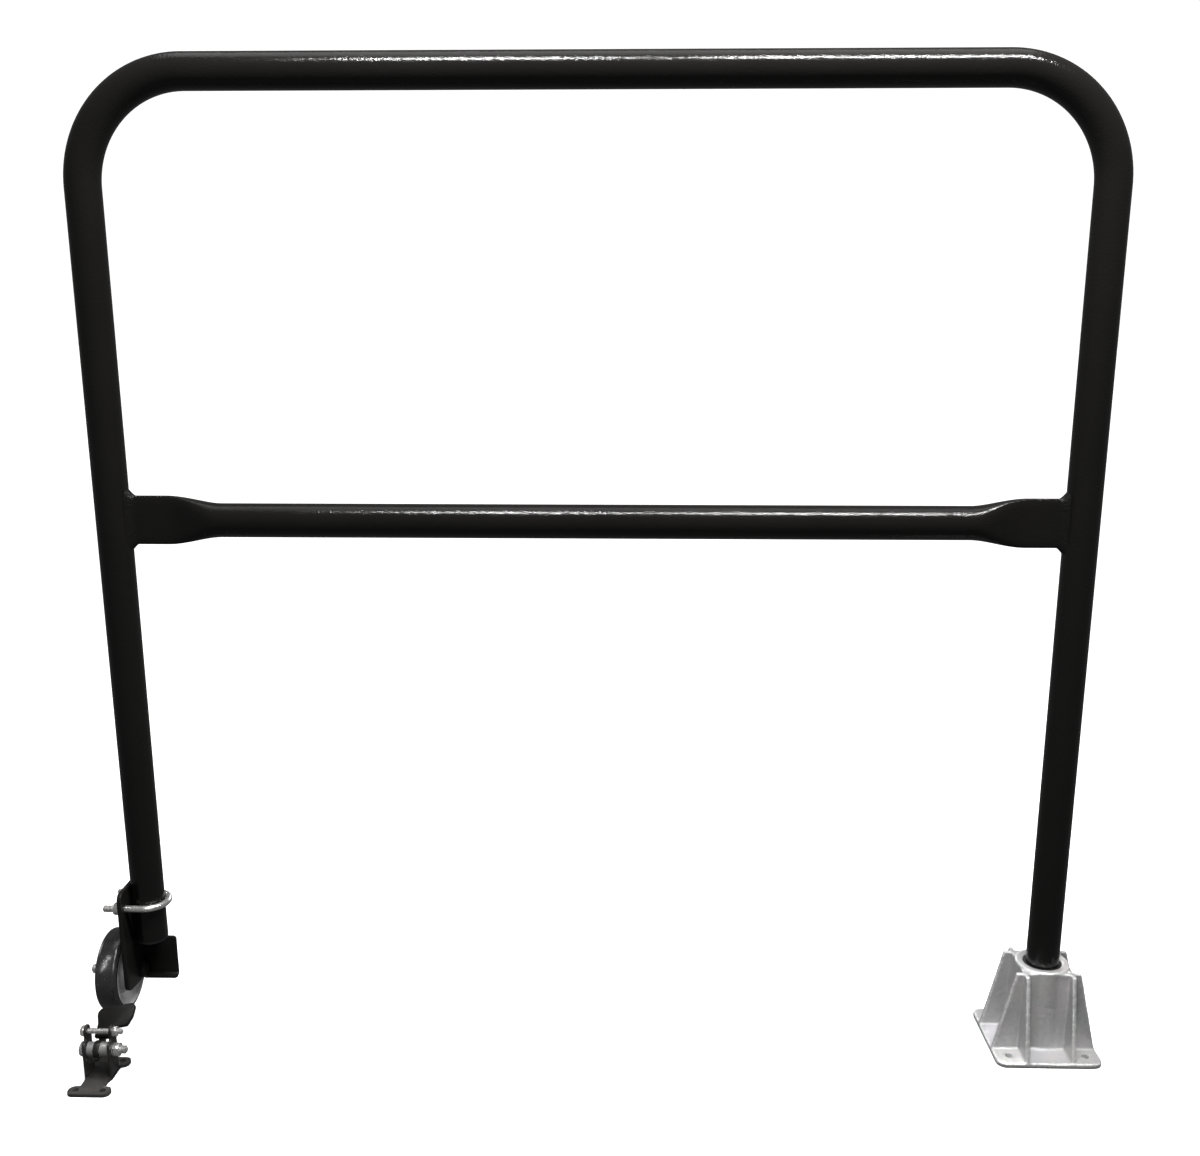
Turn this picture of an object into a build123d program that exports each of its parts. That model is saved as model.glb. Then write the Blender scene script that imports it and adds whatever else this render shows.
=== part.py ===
from build123d import *
from math import cos, pi, sqrt
import os

# A swinging guard rail: a bent tube hoop whose pivot leg turns in a ribbed floor socket, and
# whose free leg carries a clamped wheel. A floor catch with a flap stands beside the wheel.
# Millimetres. The origin is on the pivot axis at the underside of the socket; the free leg
# stands at -X, +Y points away from the catch, and +Z is up.

# ---- tube hoop -------------------------------------------------------------------------------
tube_od = 38.1
tube_wall = 2.1
leg_spacing = 1076.0
top_rail_z = 1103.0
bend_radius = 114.3
free_leg_end_z = 126.0

# ---- mid rail, pinched flat at both ends -----------------------------------------------------
mid_rail_z = 636.0
pinch_thickness = 9.0
pinch_length = 42.0
pinch_taper = 62.0
weld_leg = 7.0
weld_toe = 0.5
weld_flare = 1.6
weld_root = 0.6

# ---- floor socket ----------------------------------------------------------------------------
socket_plate = 124.0
socket_plate_thick = 6.0
socket_plate_corner = 12.0
socket_height = 106.0
collar_wall = 9.2
bush_wall = 3.1
bush_recess = 1.5
thrust_pad_thick = 6.0
rib_thick = 4.2
rib_offset = 27.0
rib_top_half = 38.0
rib_foot_half = 60.5
rib_top_drop = 2.0
anchor_spacing = 90.0
anchor_hole = 9.0
running_gap = 0.1
thrust_gap = 0.2

# ---- end plugs -------------------------------------------------------------------------------
plug_depth = 14.0
plug_fit = 0.1
plug_flange = 3.0
plug_flange_step = 0.6
cap_flange = 4.0
cap_flange_step = 0.4
cap_chamfer = 1.5

# ---- wheel -----------------------------------------------------------------------------------
wheel_od = 101.6
wheel_clear = 25.0
wheel_width = 27.0
tread_thick = 6.4
tread_shoulder = 5.5
wheel_y = 8.0
wheel_side_gap = 8.0
hub_boss_od = 40.0
hub_rim_wall = 6.0
hub_web = 9.0
bearing_od = 28.0
bearing_width = 8.0
axle_diameter = 12.0
axle_fit = 0.05
axle_washer_od = 24.0
axle_washer_thick = 3.0
hub_boss_proud = 0.3
axle_side_play = 0.3
axle_head_od = 20.0
axle_head_high = 6.0
axle_nut_af = 19.0
axle_nut_high = 10.0
axle_thread_end = 8.0

# ---- clamp bracket on the free leg -----------------------------------------------------------
side_plate_thick = 5.0
side_plate_half = 36.0
side_plate_below_axle = 16.5
side_plate_near_rise = 8.0
side_plate_top = 195.0
side_plate_corner = 9.0
clamp_gap = 0.15
seat_thick = 4.0
seat_top = 114.0
seat_shelf_z = 61.0
seat_shelf_front = 12.5
seat_reach = 21.0
seat_corner = 4.0
u_rod = 8.0
u_bolt_z = 172.0
u_bolt_end = 46.0
u_hole_slack = 0.5
u_nut_af = 13.0
u_nut_high = 7.0
u_washer_od = 17.0
u_washer_thick = 1.6

# ---- floor catch -----------------------------------------------------------------------------
catch_plate_thick = 4.0
catch_foot_width = 49.0
catch_foot_depth = 16.0
catch_foot_corner = 6.7
catch_hole_spacing = 31.0
catch_row_spacing = 59.0
catch_hole = 7.0
catch_side_offset = 32.0
catch_pivot_y = -100.0
catch_pivot_z = 33.0
catch_far_row = 22.0
ear_span = 32.0
ear_thick = 3.0
ear_width = 23.0
ear_shoulder_z = 46.0
ear_tab_width = 13.0
ear_top_z = 62.0
pivot_bolt = 9.5
pivot_bolt_af = 15.0
pivot_head_high = 6.0
pivot_nut_high = 8.0
pivot_bolt_end = 8.0
spacer_od = 17.0
spacer_left = 8.0
stop_bolt = 6.4
stop_bolt_af = 11.0
stop_head_high = 4.4
stop_nut_high = 5.5
stop_bolt_end = 6.0
stop_ahead = 3.0
stop_above = 21.5
bolt_slack = 0.1
hex_blank = 1.03
hex_crown = 0.09

# ---- flap ------------------------------------------------------------------------------------
flap_angle = 36.0
flap_arm_thick = 6.5
flap_arm_reach = 47.0
flap_arm_depth = 8.0
flap_hub = 20.0
flap_side_play = 0.1
flap_tip = 55.0
paddle_start = 12.0
paddle_neck_end = 24.5
paddle_foot = 27.5
paddle_thick = 6.0
paddle_width = 41.0
paddle_foot_width = 34.0
paddle_neck_width = 20.0
paddle_offset = 9.0
paddle_tip_slant = 9.0
paddle_corner = 5.0
paddle_flare = 0.4
paddle_rim = 0.3

# ---- places that follow from the sizes above ---------------------------------------------------
tube_r = tube_od / 2
tube_bore_r = tube_r - tube_wall
free_x = -leg_spacing
bush_bore_r = tube_r + running_gap
socket_bore_r = bush_bore_r + bush_wall
collar_r = socket_bore_r + collar_wall
pad_top_z = socket_plate_thick + thrust_pad_thick
plug_face_z = pad_top_z + thrust_gap
pivot_leg_end_z = plug_face_z + plug_flange
pinch_height = pi * (tube_od - pinch_thickness) / 2 + pinch_thickness
plate_face_x = free_x - tube_r - clamp_gap
plate_back_x = plate_face_x - side_plate_thick
wheel_z = wheel_clear + wheel_od / 2
wheel_right_x = plate_back_x - wheel_side_gap
wheel_left_x = wheel_right_x - wheel_width
hub_r = wheel_od / 2 - tread_thick
hub_left_x = wheel_left_x - hub_boss_proud
hub_right_x = wheel_right_x + hub_boss_proud
washer_right_x = hub_right_x + axle_side_play
washer_left_x = hub_left_x - axle_side_play
axle_nut_x = washer_left_x - axle_washer_thick
axle_end_x = axle_nut_x - axle_nut_high - axle_thread_end
u_line_r = tube_r + clamp_gap + u_rod / 2
catch_x = free_x - catch_side_offset
spacer_right = ear_span - 2 * ear_thick - spacer_left - flap_arm_thick - 2 * flap_side_play
ear_left_x = catch_x - ear_span / 2
ear_right_x = catch_x + ear_span / 2
spacer_left_x = ear_left_x + ear_thick
arm_left_x = spacer_left_x + spacer_left + flap_side_play
arm_right_x = arm_left_x + flap_arm_thick
spacer_right_x = arm_right_x + flap_side_play
stop_y = catch_pivot_y + stop_ahead
stop_z = catch_pivot_z + stop_above
far_row_y = catch_pivot_y + catch_far_row
near_row_y = far_row_y - catch_row_spacing


# ---- shared shapes ---------------------------------------------------------------------------
def rod_x(radius, x_from, x_to, y, z):
    return Pos((x_from + x_to) / 2, y, z) * Rot(0, 90, 0) * Cylinder(radius, x_to - x_from)


def rod_z(radius, z_from, z_to, x=0.0, y=0.0):
    return Pos(x, y, (z_from + z_to) / 2) * Cylinder(radius, z_to - z_from)


def block(x_from, x_to, y_from, y_to, z_from, z_to):
    centre = Pos((x_from + x_to) / 2, (y_from + y_to) / 2, (z_from + z_to) / 2)
    return centre * Box(x_to - x_from, y_to - y_from, z_to - z_from)


def hex_x(across_flats, x_from, x_to, y, z, crown):
    # a hexagon along X whose corners are turned down at its crown end, which is "left" or "right"
    outline = Plane.YZ.offset(x_from) * Pos(y, z) * RegularPolygon(across_flats / 2, 6, major_radius=False)
    prism = extrude(outline, x_to - x_from)
    blank_r = across_flats / sqrt(3) * hex_blank
    blank = rod_x(blank_r, x_from, x_to, y, z)
    rims = blank.edges().filter_by(GeomType.CIRCLE).sort_by(Axis.X)
    rim = rims[0] if crown == "left" else rims[-1]
    return prism & chamfer(rim, across_flats * hex_crown)


# ---- hoop and mid rail -----------------------------------------------------------------------
def hoop_line():
    return FilletPolyline(
        (0, 0, pivot_leg_end_z),
        (0, 0, top_rail_z),
        (free_x, 0, top_rail_z),
        (free_x, 0, free_leg_end_z),
        radius=bend_radius,
    )


def hoop_tube():
    line = hoop_line()
    start = Plane(origin=(0, 0, pivot_leg_end_z), z_dir=(0, 0, 1))
    ring = start * (Circle(tube_r) - Circle(tube_bore_r))
    return sweep(ring, path=line)


def pinch_section(x, share, inset):
    # share runs from 0, the round tube, to 1, the pinched end; four arcs make the outline
    ease = share * share * (3 - 2 * share)
    half_high = tube_r + (pinch_height / 2 - tube_r) * ease - inset
    half_wide = tube_r + (pinch_thickness / 2 - tube_r) * ease - inset
    diagonal = cos(pi / 4)
    corner_high = diagonal * half_high * (1 - ease) + (half_high - half_wide * 0.55) * ease
    corner_wide = diagonal * half_wide * (1 - ease) + half_wide * 0.9 * ease
    sides = [
        ThreePointArc((x, corner_wide, -corner_high), (x, half_wide, 0), (x, corner_wide, corner_high)),
        ThreePointArc((x, corner_wide, corner_high), (x, 0, half_high), (x, -corner_wide, corner_high)),
        ThreePointArc((x, -corner_wide, corner_high), (x, -half_wide, 0), (x, -corner_wide, -corner_high)),
        ThreePointArc((x, -corner_wide, -corner_high), (x, 0, -half_high), (x, corner_wide, -corner_high)),
    ]
    return make_face(sides)


def rail_form(inset):
    # the rail from leg axis to leg axis, about its own centre line; inset gives the bore
    taper_steps = 5
    outer_x = leg_spacing / 2
    flat_x = outer_x - tube_r - pinch_length
    round_x = flat_x - pinch_taper
    form = rod_x(tube_r - inset, -round_x, round_x, 0, 0)
    for side in (-1, 1):
        steps = [index / taper_steps for index in range(taper_steps + 1)]
        sections = [pinch_section(side * (round_x + pinch_taper * step), step, inset) for step in steps]
        form += loft(sections)
        end = pinch_section(side * flat_x, 1, inset)
        form += extrude(end, amount=tube_r + pinch_length, dir=(side, 0, 0))
    return form


def mid_rail():
    rail = rail_form(0) - rail_form(tube_wall)
    rail = Pos(free_x / 2, 0, mid_rail_z) * rail
    for x in (0, free_x):
        rail -= rod_z(tube_r, mid_rail_z - tube_od, mid_rail_z + tube_od, x)
    return rail


def rail_welds():
    # one bead all round the pinched end at each leg, wider at its root inside the leg's outline
    beads = []
    rise = pinch_height / 2 + weld_toe
    reach = pinch_thickness / 2 + weld_toe
    grow = weld_leg * weld_flare
    for x, side in ((0, -1), (free_x, 1)):
        root = RectangleRounded(2 * (reach + weld_leg), 2 * (rise + grow), weld_leg)
        toe = RectangleRounded(2 * reach, 2 * rise, reach - weld_toe)
        root = Plane.YZ.offset(x + side * tube_r * weld_root) * root
        toe = Plane.YZ.offset(x + side * (tube_r + weld_leg)) * toe
        bead = Pos(0, 0, mid_rail_z) * loft([root, toe])
        bead -= rod_z(tube_r, mid_rail_z - pinch_height, mid_rail_z + pinch_height, x)
        end = extrude(pinch_section(0, 1, 0), amount=tube_od * 2, dir=(side, 0, 0))
        bead -= Pos(x, 0, mid_rail_z) * end
        beads.append(bead.solids().sort_by(SortBy.VOLUME)[-1])
    return Compound(children=beads)


def pivot_leg_plug():
    flange = rod_z(tube_r - plug_flange_step, plug_face_z, pivot_leg_end_z)
    return flange + rod_z(tube_bore_r - plug_fit, pivot_leg_end_z, pivot_leg_end_z + plug_depth)


def free_leg_cap():
    cap = rod_z(tube_r - cap_flange_step, free_leg_end_z - cap_flange, free_leg_end_z, free_x)
    cap = chamfer(cap.edges().filter_by(GeomType.CIRCLE).sort_by(Axis.Z)[0], cap_chamfer)
    return cap + rod_z(tube_bore_r - plug_fit, free_leg_end_z, free_leg_end_z + plug_depth, free_x)


# ---- floor socket ----------------------------------------------------------------------------
def socket_rib(offset):
    rib_top = socket_height - rib_top_drop
    outline = make_face(
        Polyline(
            (-rib_foot_half, socket_plate_thick / 2),
            (rib_foot_half, socket_plate_thick / 2),
            (rib_foot_half, socket_plate_thick),
            (rib_top_half, rib_top),
            (-rib_top_half, rib_top),
            (-rib_foot_half, socket_plate_thick),
            close=True,
        )
    )
    upright = Plane.XZ.offset(-offset - rib_thick / 2) * outline
    return extrude(upright, rib_thick)


def socket_casting():
    plate = extrude(RectangleRounded(socket_plate, socket_plate, socket_plate_corner), socket_plate_thick)
    casting = plate + rod_z(collar_r, socket_plate_thick / 2, socket_height)
    for offset in (-rib_offset, rib_offset):
        rib = socket_rib(offset)
        casting += rib
        casting += Rot(0, 0, 90) * rib
    casting -= rod_z(socket_bore_r, socket_plate_thick, socket_height + 1)
    half = anchor_spacing / 2
    for x in (-half, half):
        for y in (-half, half):
            casting -= rod_z(anchor_hole / 2, -1, socket_plate_thick + 1, x, y)
    return casting


def socket_bush():
    top = socket_height - bush_recess
    return rod_z(socket_bore_r, socket_plate_thick, top) - rod_z(bush_bore_r, 0, socket_height)


def socket_thrust_pad():
    return rod_z(bush_bore_r, socket_plate_thick, pad_top_z)


# ---- clamp bracket ---------------------------------------------------------------------------
def bracket_side_plate():
    # the lower edge climbs a little towards the side that faces the catch
    bottom = wheel_z - side_plate_below_axle
    corners = [
        (-side_plate_half, bottom + side_plate_near_rise),
        (side_plate_half, bottom),
        (side_plate_half, side_plate_top),
        (-side_plate_half, side_plate_top),
    ]
    outline = make_face(Polyline(*corners, close=True))
    outline = fillet(outline.vertices(), side_plate_corner)
    plate = extrude(Plane.YZ.offset(plate_back_x) * outline, side_plate_thick)
    hole_r = u_rod / 2 + u_hole_slack
    for y in (-u_line_r, u_line_r):
        plate -= rod_x(hole_r, plate_back_x - 1, plate_face_x + 1, y, u_bolt_z)
    plate -= rod_x(axle_diameter / 2, plate_back_x - 1, plate_face_x + 1, wheel_y, wheel_z)
    return plate


def bracket_seat_angle():
    flange_y = tube_r + clamp_gap
    right_x = free_x + seat_reach
    flange = block(plate_face_x, right_x, flange_y, flange_y + seat_thick, seat_shelf_z, seat_top)
    shelf = block(plate_face_x, right_x, seat_shelf_front, flange_y, seat_shelf_z, seat_shelf_z + seat_thick)
    angle = flange + shelf
    top_corner = angle.edges().filter_by(Axis.Y).sort_by(Axis.Z)[-2:].sort_by(Axis.X)[-1]
    front_corner = angle.edges().filter_by(Axis.Z).sort_by(Axis.Y)[:2].sort_by(Axis.X)[-1]
    return fillet([top_corner, front_corner], seat_corner)


def u_bolt():
    end_x = free_x - u_bolt_end
    line = Line((end_x, -u_line_r, u_bolt_z), (free_x, -u_line_r, u_bolt_z))
    line += ThreePointArc(
        (free_x, -u_line_r, u_bolt_z), (free_x + u_line_r, 0, u_bolt_z), (free_x, u_line_r, u_bolt_z)
    )
    line += Line((free_x, u_line_r, u_bolt_z), (end_x, u_line_r, u_bolt_z))
    section = Plane(origin=(end_x, -u_line_r, u_bolt_z), z_dir=(1, 0, 0)) * Circle(u_rod / 2)
    return sweep(section, path=line)


def u_bolt_washers():
    rings = []
    for y in (-u_line_r, u_line_r):
        ring = rod_x(u_washer_od / 2, plate_back_x - u_washer_thick, plate_back_x, y, u_bolt_z)
        rings.append(ring - rod_x(u_rod / 2, plate_back_x - 9, plate_back_x + 9, y, u_bolt_z))
    return Compound(children=rings)


def u_bolt_nuts():
    nuts = []
    seat_x = plate_back_x - u_washer_thick
    for y in (-u_line_r, u_line_r):
        nut = hex_x(u_nut_af, seat_x - u_nut_high, seat_x, y, u_bolt_z, "left")
        nuts.append(nut - rod_x(u_rod / 2, seat_x - 20, seat_x + 5, y, u_bolt_z))
    return Compound(children=nuts)


# ---- wheel and axle --------------------------------------------------------------------------
def axle_bolt():
    shaft = rod_x(axle_diameter / 2, axle_end_x, plate_face_x, wheel_y, wheel_z)
    shaft = chamfer(shaft.edges().filter_by(GeomType.CIRCLE).sort_by(Axis.X)[0], 1.2)
    head = rod_x(axle_head_od / 2, plate_face_x, plate_face_x + axle_head_high, wheel_y, wheel_z)
    head = fillet(head.edges().filter_by(GeomType.CIRCLE).sort_by(Axis.X)[-1], axle_head_high * 0.7)
    return shaft + head


def axle_washers():
    # a long collar holds the wheel off the plate, and a washer sits under the nut
    rings = []
    for x_from, x_to in ((washer_right_x, plate_back_x), (axle_nut_x, washer_left_x)):
        ring = rod_x(axle_washer_od / 2, x_from, x_to, wheel_y, wheel_z)
        rings.append(ring - rod_x(axle_diameter / 2, x_from - 1, x_to + 1, wheel_y, wheel_z))
    return Compound(children=rings)


def axle_nut():
    nut = hex_x(axle_nut_af, axle_nut_x - axle_nut_high, axle_nut_x, wheel_y, wheel_z, "left")
    return nut - rod_x(axle_diameter / 2, axle_end_x - 1, axle_nut_x + 1, wheel_y, wheel_z)


def wheel_tread():
    ring = rod_x(wheel_od / 2, wheel_left_x, wheel_right_x, wheel_y, wheel_z)
    ring = fillet(ring.edges().filter_by(GeomType.CIRCLE), tread_shoulder)
    return ring - rod_x(hub_r, wheel_left_x - 1, wheel_right_x + 1, wheel_y, wheel_z)


def wheel_hub():
    hub = rod_x(hub_r, wheel_left_x, wheel_right_x, wheel_y, wheel_z)
    web_gap = (wheel_width - hub_web) / 2
    for x_from, x_to in ((wheel_left_x, wheel_left_x + web_gap), (wheel_right_x - web_gap, wheel_right_x)):
        recess = rod_x(hub_r - hub_rim_wall, x_from, x_to, wheel_y, wheel_z)
        recess -= rod_x(hub_boss_od / 2, x_from, x_to, wheel_y, wheel_z)
        hub -= recess
    hub += rod_x(hub_boss_od / 2, hub_left_x, hub_right_x, wheel_y, wheel_z)
    return hub - rod_x(bearing_od / 2, hub_left_x - 1, hub_right_x + 1, wheel_y, wheel_z)


def wheel_bearings():
    rings = []
    bore = axle_diameter / 2 + axle_fit
    for x_from in (hub_left_x, hub_right_x - bearing_width):
        x_to = x_from + bearing_width
        ring = rod_x(bearing_od / 2, x_from, x_to, wheel_y, wheel_z)
        rings.append(ring - rod_x(bore, x_from - 1, x_to + 1, wheel_y, wheel_z))
    return Compound(children=rings)


def bearing_spacer():
    x_from = hub_left_x + bearing_width
    x_to = hub_right_x - bearing_width
    bore = axle_diameter / 2 + axle_fit
    spacer = rod_x(bearing_od / 2, x_from, x_to, wheel_y, wheel_z)
    return spacer - rod_x(bore + 2.0, x_from - 1, x_to + 1, wheel_y, wheel_z)


# ---- floor catch -----------------------------------------------------------------------------
def catch_bracket():
    plan = Pos(catch_x, (far_row_y + near_row_y) / 2) * Rectangle(ear_span, catch_row_spacing)
    for y in (near_row_y, far_row_y):
        plan += Pos(catch_x, y) * RectangleRounded(catch_foot_width, catch_foot_depth, catch_foot_corner)
    bracket = extrude(plan, catch_plate_thick)
    half = ear_width / 2
    tab = ear_tab_width / 2
    body = Pos(catch_pivot_y, ear_shoulder_z / 2) * Rectangle(2 * half, ear_shoulder_z)
    head = Pos(stop_y, (ear_top_z + catch_pivot_z) / 2) * Rectangle(2 * tab, ear_top_z - catch_pivot_z)
    profile = body + head
    profile = fillet(profile.vertices().sort_by(Axis.Y)[-2:], tab * 0.9)
    shoulders = profile.vertices().filter_by_position(Axis.Y, ear_shoulder_z - 1, ear_shoulder_z + 1)
    near_step = stop_y - tab - (catch_pivot_y - half)
    profile = fillet(shoulders.sort_by(Axis.X)[0], near_step * 0.6)
    for x in (ear_left_x, ear_right_x - ear_thick):
        bracket += extrude(Plane.YZ.offset(x) * profile, ear_thick)
    for y in (near_row_y, far_row_y):
        for side in (-1, 1):
            x = catch_x + side * catch_hole_spacing / 2
            bracket -= rod_z(catch_hole / 2, -1, catch_plate_thick + 1, x, y)
    bracket -= rod_x(pivot_bolt / 2, ear_left_x - 1, ear_right_x + 1, catch_pivot_y, catch_pivot_z)
    bracket -= rod_x(stop_bolt / 2, ear_left_x - 1, ear_right_x + 1, stop_y, stop_z)
    return bracket


def catch_bolt(diameter, across_flats, head_high, nut_high, end, y, z):
    # the head bears on the left ear, and the shaft runs out past the nut on the right one
    head_x = ear_left_x - head_high
    shaft = rod_x(diameter / 2, head_x + head_high / 2, ear_right_x + nut_high + end, y, z)
    shaft = chamfer(shaft.edges().filter_by(GeomType.CIRCLE).sort_by(Axis.X)[-1], diameter * 0.1)
    return shaft + hex_x(across_flats, head_x, ear_left_x, y, z, "left")


def catch_nut(diameter, across_flats, nut_high, y, z):
    nut = hex_x(across_flats, ear_right_x, ear_right_x + nut_high, y, z, "right")
    return nut - rod_x(diameter / 2, ear_right_x - 1, ear_right_x + nut_high + 1, y, z)


def catch_pivot_bolt():
    sizes = (pivot_bolt, pivot_bolt_af, pivot_head_high, pivot_nut_high, pivot_bolt_end)
    return catch_bolt(*sizes, catch_pivot_y, catch_pivot_z)


def catch_stop_bolt():
    sizes = (stop_bolt, stop_bolt_af, stop_head_high, stop_nut_high, stop_bolt_end)
    return catch_bolt(*sizes, stop_y, stop_z)


def catch_pivot_nut():
    return catch_nut(pivot_bolt, pivot_bolt_af, pivot_nut_high, catch_pivot_y, catch_pivot_z)


def catch_stop_nut():
    return catch_nut(stop_bolt, stop_bolt_af, stop_nut_high, stop_y, stop_z)


def catch_spacer(x_from, length):
    spacer = rod_x(spacer_od / 2, x_from, x_from + length, catch_pivot_y, catch_pivot_z)
    return spacer - rod_x(pivot_bolt / 2, x_from - 1, x_from + length + 1, catch_pivot_y, catch_pivot_z)


# ---- flap, drawn lying along +Y from the pivot and then turned up ------------------------------
def tilt_flap(shape):
    return Pos(0, catch_pivot_y, catch_pivot_z) * Rot(flap_angle, 0, 0) * shape


def flap_arm():
    hub_r_flap = flap_hub / 2
    arm = Pos(flap_arm_reach / 2, -flap_arm_depth / 2) * Rectangle(flap_arm_reach, flap_arm_depth)
    outline = Circle(hub_r_flap) + arm
    tip = outline.vertices().sort_by(Axis.X)[-2:].sort_by(Axis.Y)[0]
    outline = fillet(tip, flap_arm_depth * 0.6)
    lug = extrude(Plane.YZ.offset(arm_left_x) * outline, flap_arm_thick)
    lug -= rod_x(pivot_bolt / 2 + bolt_slack, arm_left_x - 1, arm_right_x + 1, 0, 0)
    return tilt_flap(lug)


def flap_paddle():
    # a narrow neck turns between the ears; beyond them the plate flares out, more to the right,
    # to a paddle whose tip runs at a slant
    wide_y = paddle_foot + (flap_tip - paddle_foot) * paddle_flare
    half = paddle_width / 2
    foot_half = paddle_foot_width / 2
    neck_right = paddle_offset - foot_half + paddle_neck_width
    corners = [
        (neck_right, paddle_start),
        (neck_right, paddle_neck_end),
        (paddle_offset + foot_half, paddle_foot),
        (paddle_offset + half, wide_y),
        (paddle_offset + half, flap_tip),
        (paddle_offset - half, flap_tip - paddle_tip_slant),
        (paddle_offset - half, wide_y),
        (paddle_offset - foot_half, paddle_foot),
        (paddle_offset - foot_half, paddle_start),
    ]
    outline = Pos(catch_x, 0) * make_face(Polyline(*corners, close=True))
    tips = outline.vertices().group_by(Axis.Y)
    outline = fillet(tips[-1] + tips[-2], paddle_corner)
    plate = extrude(outline, paddle_thick)
    top_rim = plate.faces().sort_by(Axis.Z)[-1].edges().sort_by(Axis.Y)[-1]
    return tilt_flap(fillet(top_rim, paddle_thick * paddle_rim))


NODES = {
    "hoop_tube": hoop_tube,
    "mid_rail": mid_rail,
    "rail_welds": rail_welds,
    "pivot_leg_plug": pivot_leg_plug,
    "free_leg_cap": free_leg_cap,
    "socket_casting": socket_casting,
    "socket_bush": socket_bush,
    "socket_thrust_pad": socket_thrust_pad,
    "bracket_side_plate": bracket_side_plate,
    "bracket_seat_angle": bracket_seat_angle,
    "u_bolt": u_bolt,
    "u_bolt_washers": u_bolt_washers,
    "u_bolt_nuts": u_bolt_nuts,
    "axle_bolt": axle_bolt,
    "axle_washers": axle_washers,
    "axle_nut": axle_nut,
    "wheel_tread": wheel_tread,
    "wheel_hub": wheel_hub,
    "wheel_bearings": wheel_bearings,
    "bearing_spacer": bearing_spacer,
    "catch_bracket": catch_bracket,
    "catch_pivot_bolt": catch_pivot_bolt,
    "catch_pivot_nut": catch_pivot_nut,
    "catch_spacer_left": lambda: catch_spacer(spacer_left_x, spacer_left),
    "catch_spacer_right": lambda: catch_spacer(spacer_right_x, spacer_right),
    "catch_stop_bolt": catch_stop_bolt,
    "catch_stop_nut": catch_stop_nut,
    "flap_arm": flap_arm,
    "flap_paddle": flap_paddle,
}

os.makedirs("parts", exist_ok=True)
for name, build in NODES.items():
    export_step(build(), f"parts/{name}.step")
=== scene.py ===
import math

import bmesh
import bpy
from mathutils import Matrix, Vector, noise


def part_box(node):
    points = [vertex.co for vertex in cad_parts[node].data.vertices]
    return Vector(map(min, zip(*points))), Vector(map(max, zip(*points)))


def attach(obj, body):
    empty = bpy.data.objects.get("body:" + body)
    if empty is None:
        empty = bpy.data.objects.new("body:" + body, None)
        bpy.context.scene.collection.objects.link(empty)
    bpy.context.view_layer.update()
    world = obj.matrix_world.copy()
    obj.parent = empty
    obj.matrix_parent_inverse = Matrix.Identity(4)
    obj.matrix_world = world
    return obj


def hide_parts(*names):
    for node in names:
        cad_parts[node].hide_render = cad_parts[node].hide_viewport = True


# A swinging guard rail, its cast floor socket, the wheel under its free leg and the floor catch
# that the wheel stops at. Metres. The pivot axis is the Z axis and the floor is at Z = 0.

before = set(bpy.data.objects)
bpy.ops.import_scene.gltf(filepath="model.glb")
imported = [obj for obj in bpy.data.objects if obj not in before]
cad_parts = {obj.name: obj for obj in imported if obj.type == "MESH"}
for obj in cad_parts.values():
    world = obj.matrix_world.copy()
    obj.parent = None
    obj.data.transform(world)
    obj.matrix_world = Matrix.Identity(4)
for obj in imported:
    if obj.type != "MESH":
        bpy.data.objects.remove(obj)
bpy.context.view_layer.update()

MM = 0.001
ORIGIN = Vector((0, 0, 0))
AXIS_X = Vector((1, 0, 0))
AXIS_Y = Vector((0, 1, 0))
AXIS_Z = Vector((0, 0, 1))
TUBE_FACETS = 72
ROUND_FACETS = 48


# ---- sizes and places, read from the frame ------------------------------------------------------
def centre_of(node):
    low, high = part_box(node)
    return (low + high) / 2


hoop_low, hoop_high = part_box("hoop_tube")
TUBE_R = (hoop_high.y - hoop_low.y) / 2
PIVOT_X = hoop_high.x - TUBE_R
FREE_X = hoop_low.x + TUBE_R
TOP_Z = hoop_high.z - TUBE_R
PIVOT_LEG_END = hoop_low.z
BEND_R = 114.3 * MM
CAP_FLANGE = 4 * MM
FREE_LEG_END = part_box("free_leg_cap")[0].z + CAP_FLANGE
RAIL_Z = centre_of("mid_rail").z

plate_low, plate_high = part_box("bracket_side_plate")
tread_low, tread_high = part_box("wheel_tread")
WHEEL = centre_of("wheel_tread")
WHEEL_R = (tread_high.z - tread_low.z) / 2
U_BOLT_Z = centre_of("u_bolt").z
catch_low, catch_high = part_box("catch_bracket")
CATCH_X = centre_of("catch_bracket").x
PIVOT_BOLT = centre_of("catch_pivot_nut")
STOP_BOLT = centre_of("catch_stop_nut")
FLAP_ANGLE = math.radians(36)


# ---- shader writing --------------------------------------------------------------------------
class Value:
    """One shader socket that takes part in ordinary arithmetic."""

    def __init__(self, finish, socket):
        self.finish = finish
        self.socket = socket

    def _math(self, operation, first, second):
        return self.finish.add("ShaderNodeMath", {"operation": operation}, {0: first, 1: second})

    def __add__(self, other):
        return self._math("ADD", self, other)

    def __radd__(self, other):
        return self._math("ADD", other, self)

    def __sub__(self, other):
        return self._math("SUBTRACT", self, other)

    def __rsub__(self, other):
        return self._math("SUBTRACT", other, self)

    def __mul__(self, other):
        return self._math("MULTIPLY", self, other)

    def __rmul__(self, other):
        return self._math("MULTIPLY", other, self)


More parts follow.
